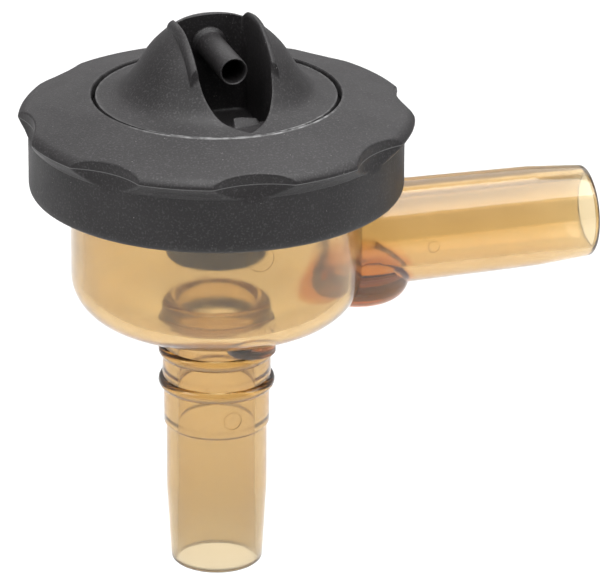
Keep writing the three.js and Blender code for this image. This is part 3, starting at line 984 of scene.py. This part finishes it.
def amber_plastic():
    """Clear amber polysulfone, with fine specks, a soft moulded surface, warmer thick places, painted
    shade darkening the outlet tube and painted light paling the seat.
    """
    nodes = Nodes("amber_polysulfone")
    height = nodes.height()
    haze = nodes.ramp(nodes.noise(9.0, 2.0), 0.45, 0.75)
    specks = nodes.ramp(nodes.cells(3.4), 0.035, 0.05, 1.0, 0.0)
    # painted shade: the outlet tube is tinted darker towards its bottom end
    tube = nodes.ramp(height, -44.0 * MM, 2.0 * MM, 1.0, 0.0)
    # painted light: the seat is tinted paler, standing in for light that reaches it from below; the
    # same zone is also made rougher
    seat = nodes.both(nodes.ramp(nodes.radius(), 11.5 * MM, 12.5 * MM, 1.0, 0.0),
                      nodes.ramp(height, 5.0 * MM, 7.0 * MM))
    boss = nodes.both(nodes.ramp(nodes.radius(BOSS_REACH), 10.9 * MM, 12.0 * MM, 1.0, 0.0),
                      nodes.ramp(height, 15.0 * MM, 21.0 * MM, 1.0, 0.0))
    tint = nodes.mix(haze, AMBER, AMBER_HAZE)
    tint = nodes.mix(tube, tint, AMBER_TUBE_PAINTED_SHADE)
    tint = nodes.mix(nodes.both(specks, 0.75), tint, AMBER_SPECK)
    tint = nodes.mix(boss, tint, AMBER_BOSS)
    tint = nodes.mix(nodes.both(seat, 0.9), tint, AMBER_SEAT_PAINTED_LIGHT)
    clearness = nodes.math("SUBTRACT", 0.95, nodes.both(boss, 0.15))
    polish = nodes.ramp(nodes.noise(5.0, 4.0), 0.3, 0.8, 0.05, 0.15)
    rough = nodes.math("MAXIMUM", polish, nodes.both(seat, 0.15))
    grain = nodes.bump(nodes.noise(0.9, 3.0), 0.004)
    waves = nodes.bump(nodes.noise(7.0, 1.5), 0.05, normal=grain)
    nodes.set(Base_Color=tint, Roughness=rough, IOR=1.63, Transmission_Weight=clearness, Normal=waves)
    absorb = nodes.add("ShaderNodeVolumeAbsorption", Color=AMBER_DEPTH, Density=200.0)
    nodes.tree.links.new(absorb.outputs["Volume"], nodes.output.inputs["Volume"])
    return nodes.material


def painted_edge_highlight(nodes, size, gaps, radius, inner, outer, back):
    """Painted highlight along an edge at a radius: pale in broken stretches, most on the front, the
    side where the edge catches the light.
    """
    broken = nodes.ramp(nodes.noise(size, 3.0), 0.42, 0.62, gaps, 1.0)
    front = nodes.ramp(nodes.along_y(), -21.0 * MM, -12.0 * MM, 1.0, back)
    return nodes.both(nodes.near(nodes.radius(), radius, inner, outer), nodes.both(broken, front))


def disc_rim_highlight(nodes):
    """Painted highlight along the top of the cover disc's rim."""
    high = nodes.ramp(nodes.height(), (DISC_TOP - 0.5) * MM, (DISC_TOP - 0.2) * MM)
    return nodes.both(high, painted_edge_highlight(nodes, 2.2, 0.25, DISC, 0.3, 0.6, 0.15))


def ring_highlight_and_parting_line(nodes):
    """Where the ring is painted pale: a painted highlight along its opening, and a thin pale line on
    the parting line round its rim.
    """
    opening = painted_edge_highlight(nodes, 2.6, 0.3, RING_OPENING, 0.4, 0.75, 0.1)
    line = nodes.near(nodes.height(), RING_RIM_HEIGHT, 0.04, 0.13)
    return nodes.math("MAXIMUM", nodes.both(line, 0.4), opening)


def black_plastic(name, shade, pale_edges):
    """Matt black moulding with a spark-eroded grain, pale dust specks and painted highlights along
    edges.
    """
    nodes = Nodes(name)
    dark = tuple(c * shade for c in BLACK_DARK) + (1,)
    pale = tuple(c * shade for c in BLACK_PALE) + (1,)
    colour = nodes.mix(nodes.ramp(nodes.noise(14.0, 4.0), 0.35, 0.7), dark, pale)
    speckle = nodes.both(nodes.ramp(nodes.noise(0.42, 2.0), 0.5, 0.74), 0.5)
    colour = nodes.mix(speckle, colour, BLACK_SPECKLE)
    # painted highlights: edges laid pale where they catch the light
    colour = nodes.mix(nodes.both(pale_edges(nodes), 0.8), colour, EDGE_PALE)
    dust = nodes.ramp(nodes.cells(1.5), 0.05, 0.075, 1.0, 0.0)
    dust = nodes.both(dust, nodes.ramp(nodes.noise(6.0, 2.0), 0.48, 0.62))
    colour = nodes.mix(nodes.both(dust, 0.8), colour, DUST)
    grain = nodes.bump(nodes.noise(0.45, 3.0, 0.6), 0.05)
    rough = nodes.ramp(nodes.noise(9.0, 2.0), 0.3, 0.75, 0.50, 0.57)
    nodes.set(Base_Color=colour, Roughness=rough, IOR=1.5, Normal=grain)
    return nodes.material


def black_rubber():
    """Smooth moulded rubber with a faint bloom."""
    nodes = Nodes("moulded_rubber")
    bloom = nodes.ramp(nodes.noise(5.0, 5.0), 0.45, 0.75)
    colour = nodes.mix(bloom, RUBBER_DARK, RUBBER_BLOOM)
    grain = nodes.bump(nodes.noise(0.5, 3.0), 0.012)
    rough = nodes.ramp(nodes.noise(2.2, 3.0), 0.3, 0.7, 0.5, 0.68)
    nodes.set(Base_Color=colour, Roughness=rough, IOR=1.52, Normal=grain)
    return nodes.material


def grey_plastic():
    """Plain grey moulding for the plate."""
    nodes = Nodes("plate_plastic")
    colour = nodes.mix(nodes.noise(3.0, 4.0), GREY_DARK, GREY_PALE)
    grain = nodes.bump(nodes.noise(0.4, 3.0), 0.02)
    rough = nodes.ramp(nodes.noise(1.5, 3.0), 0.3, 0.7, 0.38, 0.55)
    nodes.set(Base_Color=colour, Roughness=rough, Normal=grain)
    return nodes.material


# ---------- stage, light and camera ----------
FLOOR_SIZE = 9.0
FLOOR_DEPTH = -0.30

ROOM_FACING = (0.0, 0.85, 0.55)
ROOM_FADE = -0.9, 0.8
ROOM_FRONT = (0.045, 0.044, 0.045, 1)
ROOM_BACK = (0.46, 0.455, 0.46, 1)

# name, place, target, width, height, watts, spread in degrees
SOFTBOXES = [
    ("overhead", (0.05, -0.2, 1.1), (0.02, -0.12, 0), 1.5, 1.2, 22.0, 180.0),
    ("backdrop", (0.1, 0.98, 0.42), (0.1, 0.97, -0.3), 0.6, 0.7, 1.1, 115.0),
    ("back", (0.4, 1.0, 0.75), (0, 0, 0.05), 1.3, 0.7, 2.8, 180.0),
    ("left", (-1.0, -0.25, 0.75), (0, 0, 0.05), 0.6, 0.9, 3.0, 180.0),
    ("right", (0.95, -0.35, 0.65), (0, 0, 0.05), 0.6, 0.8, 2.8, 180.0),
]

CAMERA_AZIMUTH = math.radians(-17.0)
CAMERA_ELEVATION = math.radians(22.589)
CAMERA_ROLL = math.radians(0.3098)
CAMERA_DISTANCE = 1.2354
CAMERA_AIM_RIGHT = 0.0185162
CAMERA_AIM_UP = 0.0157327
CAMERA_SENSOR = 36
CAMERA_LENS = 352.4


def stage():
    """A wide pale floor well below the valve."""
    size, depth = FLOOR_SIZE, FLOOR_DEPTH
    mesh = bpy.data.meshes.new("floor")
    mesh.from_pydata([(-size, -size, depth), (size, -size, depth), (size, size, depth),
                      (-size, size, depth)], [], [(0, 1, 2, 3)])
    floor = bpy.data.objects.new("floor", mesh)
    bpy.context.scene.collection.objects.link(floor)
    nodes = Nodes("floor_card")
    nodes.set(Base_Color=nodes.mix(nodes.noise(400.0, 3.0), CARD_DARK, CARD_PALE), Roughness=0.9)
    mesh.materials.append(nodes.material)


def room():
    """A pale room: bright above and behind the valve, dimmer on the side that it faces."""
    world = bpy.data.worlds.new("room")
    world.use_nodes = True
    tree = world.node_tree
    background = tree.nodes["Background"]
    background.inputs["Strength"].default_value = 1.0
    direction = tree.nodes.new("ShaderNodeTexCoord").outputs["Generated"]
    facing = tree.nodes.new("ShaderNodeVectorMath")
    facing.operation = "DOT_PRODUCT"
    facing.inputs[1].default_value = ROOM_FACING
    tree.links.new(direction, facing.inputs[0])
    fade = tree.nodes.new("ShaderNodeMapRange")
    fade.interpolation_type = "SMOOTHSTEP"
    fade.inputs["From Min"].default_value, fade.inputs["From Max"].default_value = ROOM_FADE
    tree.links.new(facing.outputs["Value"], fade.inputs["Value"])
    mix = tree.nodes.new("ShaderNodeMix")
    mix.data_type = "RGBA"
    tree.links.new(fade.outputs["Result"], mix.inputs[0])
    mix.inputs[6].default_value = ROOM_FRONT
    mix.inputs[7].default_value = ROOM_BACK
    tree.links.new(mix.outputs[2], background.inputs["Color"])
    bpy.context.scene.world = world
    bpy.context.scene.view_settings.view_transform = "Standard"


def softbox(name, place, target, width, height, power, spread):
    """A studio light that faces a target."""
    light = bpy.data.lights.new(name, "AREA")
    light.shape = "RECTANGLE"
    light.size, light.size_y = width, height
    light.energy = power
    light.spread = math.radians(spread)
    lamp = bpy.data.objects.new(name, light)
    lamp.location = place
    lamp.rotation_euler = (Vector(target) - Vector(place)).to_track_quat("-Z", "Y").to_euler()
    bpy.context.scene.collection.objects.link(lamp)


def camera():
    """A long lens at the photograph's angle, looking down a little."""
    azimuth, elevation = CAMERA_AZIMUTH, CAMERA_ELEVATION
    level = Vector((math.cos(azimuth), math.sin(azimuth), 0))
    back = Vector((math.sin(azimuth) * math.cos(elevation),
                   -math.cos(azimuth) * math.cos(elevation), math.sin(elevation)))
    upright = back.cross(level)
    right = math.cos(CAMERA_ROLL) * level + math.sin(CAMERA_ROLL) * upright
    up = back.cross(right)
    aim = right * CAMERA_AIM_RIGHT + Vector((0, 0, CAMERA_AIM_UP))
    data = bpy.data.cameras.new("camera")
    data.sensor_width = CAMERA_SENSOR
    data.lens = CAMERA_LENS
    data.clip_start, data.clip_end = 0.05, 40
    eye = bpy.data.objects.new("camera", data)
    eye.matrix_world = Matrix.Translation(aim + back * CAMERA_DISTANCE) @ Matrix(
        (right, up, back)).transposed().to_4x4()
    bpy.context.scene.collection.objects.link(eye)
    bpy.context.scene.camera = eye


# ---------- assembly ----------
def adopt(piece, body, material_slot, *nodes):
    """Fixes a piece to its body, with the CAD nodes that it stands for."""
    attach(piece, body)
    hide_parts(*nodes)


stage()
room()
camera()
for light in SOFTBOXES:
    softbox(*light)

amber = amber_plastic()
ring_black = black_plastic("ring_plastic", 1.0, ring_highlight_and_parting_line)
cover_black = black_plastic("cover_plastic", 0.95, disc_rim_highlight)
rubber = black_rubber()

adopt(amber_moulding(amber), "bowl", "amber_clear", "valve_bowl", "outlet_tube", "inlet_tube")
adopt(screw_ring(ring_black), "ring", "black_plastic", "screw_ring")
adopt(cover_moulding(cover_black), "cover", "black_plastic", "cover")
adopt(diaphragm_rim(rubber), "bowl", "black_rubber", "diaphragm_rim")
adopt(support_plate(grey_plastic()), "plug", "grey_plastic", "support_plate")

web = diaphragm(rubber)
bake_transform(web)
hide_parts("diaphragm_web", "valve_plug")
